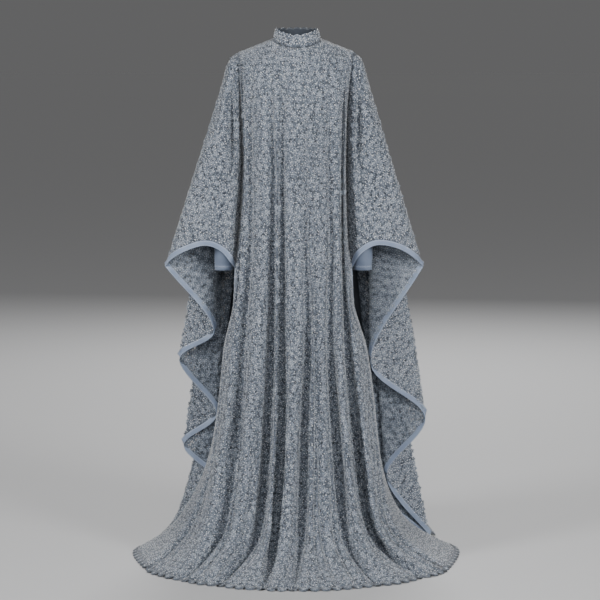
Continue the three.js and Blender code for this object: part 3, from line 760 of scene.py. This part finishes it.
FLOWER = motif(
    petal_flower(count=5, length=FLOWER_REACH, width=4.6, cup=1.4), [(1.4, 0, 0, MIDDLE_HEIGHT)],
)
SPRIG = motif(petal_flower(count=2, length=5.6, width=3.0, cup=0.8), [])
BEAD = lone_bead(radius=1.35, lift=0.2)

# How the motifs are spread: distances in millimetres, the row step as a share of the step
SIDE_MARGIN = 5
LEAST_MARGIN = 3
BEAD_CLOSER = 5
ROW_STEP = 0.87
SHADE_SPREAD = 0.18
FLOWER_LIFT = 0.7
SPRIG_LIFT = 0.8
BEAD_LIFT = 0.9


def spots(grid, step, seed, loose, edge, offset=0.0):
    """Places spread over a grid at about one step, staggered from row to row, a little uneven."""
    rng = np.random.default_rng(seed)
    normal = normals_of(grid)
    down = np.linalg.norm(np.diff(grid, axis=0), axis=2).mean(axis=1)
    reach = np.concatenate([[0], np.cumsum(down)])
    found = []
    deep = reach[-1] - SIDE_MARGIN - edge
    count_down = max(1, int(deep / (step * ROW_STEP)))
    for n in range(count_down):
        at = SIDE_MARGIN + deep * (n + 0.5 + offset * 0.5) / count_down
        i = min(int(np.searchsorted(reach, at)) - 1, len(grid) - 2)
        f = (at - reach[i]) / (reach[i + 1] - reach[i])
        row = grid[i] * (1 - f) + grid[i + 1] * f
        ways = normal[i] * (1 - f) + normal[i + 1] * f
        slopes = grid[i + 1] - grid[i]
        lengths = np.concatenate([[0], np.cumsum(np.linalg.norm(np.diff(row, axis=0), axis=1))])
        wide = lengths[-1] - 2 * SIDE_MARGIN
        count = max(1, int(wide / step))
        s = SIDE_MARGIN + wide / count * (np.arange(count) + (0.25 if n % 2 else 0.75))
        s += rng.uniform(-loose, loose, count) * step
        s = np.clip(s, LEAST_MARGIN, lengths[-1] - LEAST_MARGIN)
        drop = rng.uniform(-loose, loose, count) * step
        values = [
            np.stack([np.interp(s, lengths, v[:, k]) for k in range(3)], 1)
            for v in (row, ways, slopes)
        ]
        values[2] /= np.maximum(np.linalg.norm(values[2], axis=1, keepdims=True), 1e-9)
        values[0] += values[2] * drop[:, None]
        found.append(values)
    return [np.concatenate([values[k] for values in found]) for k in range(3)]


def sprinkle(name, places, shape, seed, lift, side=1, sizes=(0.85, 1.12)):
    """One mesh of many motifs, each turned and sized a little differently."""
    rng = np.random.default_rng(seed + 100)
    points, faces, tones, kinds = shape
    centres, ways, slopes = places
    ways = side * ways / np.linalg.norm(ways, axis=1, keepdims=True)
    first = np.cross(slopes, ways)
    first /= np.maximum(np.linalg.norm(first, axis=1, keepdims=True), 1e-9)
    second = np.cross(ways, first)
    turn = rng.uniform(0, 2 * math.pi, len(centres))
    size = rng.uniform(*sizes, len(centres))
    a = first * np.cos(turn)[:, None] + second * np.sin(turn)[:, None]
    b = np.cross(ways, a)
    x, y, z = (points[:, i] for i in range(3))
    cloud = centres[:, None, :] + size[:, None, None] * (
        a[:, None, :] * x[None, :, None] + b[:, None, :] * y[None, :, None]
    ) + ways[:, None, :] * (z[None, :, None] + lift)
    count = len(points)
    all_faces = (faces[None] + (np.arange(len(centres)) * count)[:, None, None]).reshape(-1, 3)
    # Each motif's tone is moved a little at random; within a motif the petals' tones carry their painted
    # highlight and painted shade
    shade = rng.uniform(-SHADE_SPREAD, SHADE_SPREAD, len(centres))
    tone = np.clip(tones[None] + shade[:, None], 0, 1).reshape(-1)
    return make_object(
        name, place_z(cloud.reshape(-1, 3)), all_faces, [petals, beads],
        tone=tone, material_index=np.tile(kinds, len(centres)),
    )


def cut_of(grid, by_area):
    """The flat size and area of a worn piece: its widest row, its longest column, its area.

    Where the rows climb a slanting edge, or it is scalloped, the width comes from the area.
    """
    across = np.linalg.norm(np.diff(grid, axis=1), axis=2).sum(axis=1).max()
    columns = np.linalg.norm(np.diff(grid, axis=0), axis=2).sum(axis=0)
    edge_a = np.diff(grid, axis=0)[:, :-1]
    edge_b = np.diff(grid, axis=1)[:-1]
    area = np.linalg.norm(np.cross(edge_a, edge_b), axis=2).sum() * MM * MM
    length = columns.max() * MM
    width = area / (columns.mean() * MM) if by_area else across * MM
    return (width, length), min(area, width * length)


def finish_piece(piece, node=None, grid=None, by_area=False):
    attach(piece, "root")
    if node:
        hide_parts(node)
    if grid is not None:
        flat, area = cut_of(grid, by_area)


def flowers_on(name, grid, seed, flower_step=FLOWER_STEP, bead_step=BEAD_STEP, both=False):
    """The flowers, sprigs and beads of one piece of lace, each kind spread with its own seed.

    On open lace the inside shows the flowers and sprigs too.
    """
    edge = RIBBON_WIDTH + FLOWER_REACH if both else FLOWER_REACH / 2
    flower_places = spots(grid, flower_step, seed, loose=0.28, edge=edge)
    sprig_places = spots(grid, flower_step, seed + 7, offset=0.9, loose=0.25, edge=edge)
    bead_places = spots(grid, bead_step, seed + 13, loose=0.45, edge=edge - BEAD_CLOSER)
    made = [
        sprinkle(f"{name}_flowers", flower_places, FLOWER, seed, FLOWER_LIFT),
        sprinkle(f"{name}_sprigs", sprig_places, SPRIG, seed, SPRIG_LIFT),
        sprinkle(f"{name}_beads", bead_places, BEAD, seed, BEAD_LIFT, sizes=(0.75, 1.3)),
    ]
    if both:
        for kind, places, shape, lift in (
            ("flowers", flower_places, FLOWER, FLOWER_LIFT),
            ("sprigs", sprig_places, SPRIG, SPRIG_LIFT),
        ):
            made.append(sprinkle(f"{name}_{kind}_inside", places, shape, seed, lift, side=-1))
    for piece in made:
        finish_piece(piece)
    return made


# The body's panels: lace outside, lining inside
for name, grid, seed in (("front_panel", front, 11), ("back_panel", back, 23)):
    flowers = flowers_on(name, grid, seed)
    shell = wall(f"{name}_cloth", grid, LACE_WALL, [body_lace, lining])
    finish_piece(shell, name, grid)


# The wing sleeves: one layer of open lace, with flowers on both sides
for side, seed in (("left", 37), ("right", 53)):
    for part in ("front", "back"):
        grid = wings[side][part]
        name = f"sleeve_{part}_{side}"
        flowers = flowers_on(name, grid, seed + (part == "back"), both=True)
        shell = wall(f"{name}_cloth", grid, NET_WALL, [wing_lace])
        finish_piece(shell, name, grid, by_area=part == "back")


def edge_strip(grid, width, steps):
    """A strip along a grid's last row, of one width measured square to the edge."""
    edge = grid[-1]
    tangent = np.gradient(edge, axis=0)
    tangent /= np.linalg.norm(tangent, axis=1, keepdims=True)
    normal = normals_of(grid)[-1]
    inward = np.cross(normal, tangent)
    up = grid[-2] - grid[-1]
    inward *= np.sign((inward * up).sum(axis=1))[:, None]
    rows = [edge + inward * width * (1 - k / steps) for k in range(steps + 1)]
    return np.array(rows)


# The satin ribbon that binds the wings' edges, folded over the lace
for side in ("left", "right"):
    for part in ("front", "back"):
        strip = edge_strip(wings[side][part], RIBBON_WIDTH, RIBBON_STEPS)
        piece = wall(f"binding_{part}_{side}_ribbon", strip, RIBBON_WALL, [ribbon])
        finish_piece(piece, f"binding_{part}_{side}", strip)


# The hem's edging: a strip of lace cut in scallops, with a flower on each
SCALLOP_STEPS = 8
SCALLOP_NOTCH = 0.15
SCALLOP_LIFT = 0.8


def scalloped(grid, depth):
    edge = grid[-1]
    lengths = np.concatenate([[0], np.cumsum(np.linalg.norm(np.diff(edge, axis=0), axis=1))])
    count = int(round(lengths[-1] / SCALLOP_WIDTH))
    at = np.linspace(0, lengths[-1], count * SCALLOP_STEPS + 1)
    low = np.stack([np.interp(at, lengths, edge[:, i]) for i in range(3)], 1)
    above = grid[-2] - grid[-1]
    above /= np.linalg.norm(above, axis=1, keepdims=True)
    up = np.stack([np.interp(at, lengths, above[:, i]) for i in range(3)], 1)
    top = low + up * depth
    arcs = np.sqrt(np.abs(np.sin(math.pi * at / lengths[-1] * count)))
    share = SCALLOP_NOTCH + (1 - SCALLOP_NOTCH) * arcs
    bottom = top + (low - top) * share[:, None]
    return np.array([top, top * 0.5 + bottom * 0.5, bottom])


def scallop_middles(strip):
    """The middle of each scallop, with the way out and the way down there."""
    middle = slice(SCALLOP_STEPS // 2, None, SCALLOP_STEPS)
    down = (strip[2] - strip[0])[middle]
    down /= np.linalg.norm(down, axis=1, keepdims=True)
    return strip[1][middle], normals_of(strip)[1][middle], down


for part, grid, seed in (("front", front_whole, 83), ("back", back_whole, 89)):
    strip = scalloped(grid, HEM_EDGING)
    strip[..., 2] += HEM_LIFT
    name = f"hem_edging_{part}_flowers"
    petals_on_it = sprinkle(name, scallop_middles(strip), FLOWER, seed, SCALLOP_LIFT)
    finish_piece(petals_on_it)
    piece = wall(f"hem_edging_{part}_lace", strip, LACE_WALL, [body_lace])
    finish_piece(piece, f"hem_edging_{part}", strip, by_area=True)


def side_strip(grid, column, top, bottom, width, steps):
    """A strip along one side of a grid between two heights."""
    rows = []
    for row in grid:
        if not bottom <= row[column, 2] <= top:
            continue
        inward = row if column == 0 else row[::-1]
        lengths = np.concatenate([[0], np.cumsum(np.linalg.norm(np.diff(inward, axis=0), axis=1))])
        at = np.linspace(0, width, steps + 1)
        rows.append([[np.interp(s, lengths, inward[:, k]) for k in range(3)] for s in at])
    rows = np.array(rows)
    return rows if column == 0 else rows[:, ::-1]


# Ribbon also binds the front's free side edges, from the wings down to the slits' ends
for side, column in (("left", 0), ("right", -1)):
    wing_end = ROW_HEIGHTS[ARMHOLE_ROWS - 1]
    strip = side_strip(front_whole, column, wing_end, SLIT_END, RIBBON_WIDTH, RIBBON_STEPS)
    strip = strip.transpose(1, 0, 2)[:, ::-1]
    piece = wall(f"binding_side_{side}_ribbon", strip, RIBBON_WALL, [ribbon])
    finish_piece(piece, None, strip)


# The stand collar, with its small scallops
COLLAR_COLUMNS = 144
COLLAR_ROWS = 9
COLLAR_HALF_WIDTH = 59
COLLAR_SIDE_TOP = 1508
COLLAR_SCALLOP = 4
COLLAR_SCALLOPS = 18
COLLAR_FOOT_LIFT = 1.4
NECK_INSIDE = 0.999
# The collar's top edge in the middle: depth from the neck's axis and height
COLLAR_FRONT = (55, 1491)
COLLAR_BACK = (51, 1511)


def collar_grid():
    rows = []
    for share in np.linspace(0, 1, COLLAR_ROWS):
        row = []
        for k in range(COLLAR_COLUMNS):
            angle = -2 * math.pi * k / COLLAR_COLUMNS
            facing = -1 if math.sin(angle) < 0 else 1
            neck_x = NECK_HALF_WIDTH * math.cos(angle)
            neck_depth = NECK_FRONT if facing < 0 else NECK_BACK
            neck_z = top_edge(neck_x * NECK_INSIDE, facing)[2]
            foot = np.array((neck_x, neck_depth * math.sin(angle), neck_z + COLLAR_FOOT_LIFT))
            depth, middle = COLLAR_FRONT if facing < 0 else COLLAR_BACK
            height = COLLAR_SIDE_TOP + (middle - COLLAR_SIDE_TOP) * math.sin(angle) ** 2
            scallop = COLLAR_SCALLOP * (1 - abs(math.sin(COLLAR_SCALLOPS * angle / 2)))
            across = COLLAR_HALF_WIDTH * math.cos(angle)
            top = np.array((across, depth * math.sin(angle), height - scallop))
            row.append(foot + (top - foot) * share)
        rows.append(row)
    return np.array(rows)


collar = collar_grid()
collar_open = np.concatenate([collar, collar[:, :1]], axis=1)
collar_flowers = flowers_on("collar", collar_open, 71, flower_step=18, bead_step=7)
collar_piece = wall("collar_cloth", collar, LACE_WALL, [body_lace, lining], closed=True)
finish_piece(collar_piece, "collar", collar_open)


# The satin under-sleeves, with a few soft wrinkles and a narrow turned edge at the wrist
SLEEVE_ROWS = 80
SLEEVE_COLUMNS = 36
WRINKLE_HEIGHT = 0.7
WRINKLE_LENGTH = 13
WRINKLE_MIDDLE = 470
WRINKLE_REACH = 70
WRINKLE_SWAY = 1.3
TURNED_EDGE = 0.6
SLEEVE_INSET = 0.3


def under_sleeve_grid(side):
    x, y = UNDER_SLEEVES[side]
    drops = [UNDER_SLEEVE_HEIGHTS[0] - height for height in UNDER_SLEEVE_HEIGHTS]
    at = np.linspace(0, drops[-1], SLEEVE_ROWS)
    cx, cy, radius = (follow(drops, values, at) for values in (x, y, UNDER_SLEEVE_RADII))
    angles = np.linspace(0, 2 * math.pi, SLEEVE_COLUMNS, endpoint=False)
    near_wrist = np.exp(-((at[:, None] - WRINKLE_MIDDLE) / WRINKLE_REACH) ** 2)
    waves = np.sin(at[:, None] / WRINKLE_LENGTH + WRINKLE_SWAY * np.sin(angles[None] * 2))
    wrinkle = WRINKLE_HEIGHT * waves * near_wrist
    turned_edge = np.where(at > drops[-1] - CUFF_EDGE, TURNED_EDGE, 0)
    r = (radius + turned_edge)[:, None] + wrinkle - SLEEVE_INSET
    return np.stack([
        cx[:, None] + r * np.cos(angles), cy[:, None] + r * np.sin(angles),
        np.repeat((UNDER_SLEEVE_HEIGHTS[0] - at)[:, None], len(angles), 1),
    ], 2)


for side in ("left", "right"):
    grid = under_sleeve_grid(side)
    piece = wall(f"under_sleeve_{side}_satin", grid, SATIN_WALL, [sleeve_satin], closed=True)
    grid_open = np.concatenate([grid, grid[:, :1]], axis=1)
    finish_piece(piece, f"under_sleeve_{side}", grid_open)


# Floor, light and camera
def floor_material():
    """Matt painted board, with a faint unevenness from the roller."""
    material, tree = new_material("matt_painted_floor")
    mottle = add(tree, NOISE, Scale=3.0, Detail=2.0)
    colour = add(tree, RAMP, stops=((0.0, linear("#bababb")), (1.0, linear("#c0c0c0"))), Fac=mottle)
    finish_material(tree, add(tree, SHADER, Base_Color=colour, Roughness=0.7))
    return material


floor_z = -SHOULDER_HEIGHT * MM
bpy.ops.mesh.primitive_plane_add(size=160, location=(0, 0, floor_z))
floor = bpy.context.object
floor.name = "floor"
floor.data.materials.append(floor_material())

world = bpy.data.worlds.new("studio")
world.use_nodes = True
world.node_tree.nodes["Background"].inputs[0].default_value = linear("#bcbcbd")
world.node_tree.nodes["Background"].inputs[1].default_value = 0.25
bpy.context.scene.world = world


def area_light(name, place, target, size, power):
    data = bpy.data.lights.new(name, "AREA")
    data.size = size
    data.energy = power
    lamp = bpy.data.objects.new(name, data)
    lamp.location = place
    lamp.rotation_euler = (Vector(target) - Vector(place)).to_track_quat("-Z", "Y").to_euler()
    bpy.context.collection.objects.link(lamp)


# The lamps: name, place, the height they are turned to on the garment's axis, size and power
LAMPS = [
    ("key", (-3.8, -2.9, 1.5), -0.6, 1.3, 188),
    ("fill", (3.1, -3.7, 1.1), -0.6, 1.3, 180),
    ("front", (0.0, -5.5, 1.6), -0.7, 1.5, 55),
    ("rear", (0.6, 4.8, 2.0), -0.6, 2.2, 190),
]
for name, place, height, size, power in LAMPS:
    area_light(name, place, (0, 0, height), size, power)

sky_data = bpy.data.lights.new("soft_sky", "SUN")
sky_data.energy = 0.45
sky_data.angle = math.radians(50)
sky = bpy.data.objects.new("soft_sky", sky_data)
sky.rotation_euler = (math.radians(35), 0, 0)
bpy.context.collection.objects.link(sky)

CAMERA_DISTANCE = 6.8
CAMERA_HEIGHT = 1.5
CAMERA_PITCH = 6.41
SENSOR = 36
FOCAL_PIXELS = 2394
PICTURE = 600
AXIS_PIXEL = 297
PIXEL_AT_AXIS = 0.00289
camera_data = bpy.data.cameras.new("camera")
camera_data.sensor_width = SENSOR
camera_data.lens = FOCAL_PIXELS * SENSOR / PICTURE
camera = bpy.data.objects.new("camera", camera_data)
camera.location = ((PICTURE / 2 - AXIS_PIXEL) * PIXEL_AT_AXIS, -CAMERA_DISTANCE, CAMERA_HEIGHT + floor_z)
camera.rotation_euler = (math.radians(90 - CAMERA_PITCH), 0, 0)
bpy.context.collection.objects.link(camera)
bpy.context.scene.camera = camera
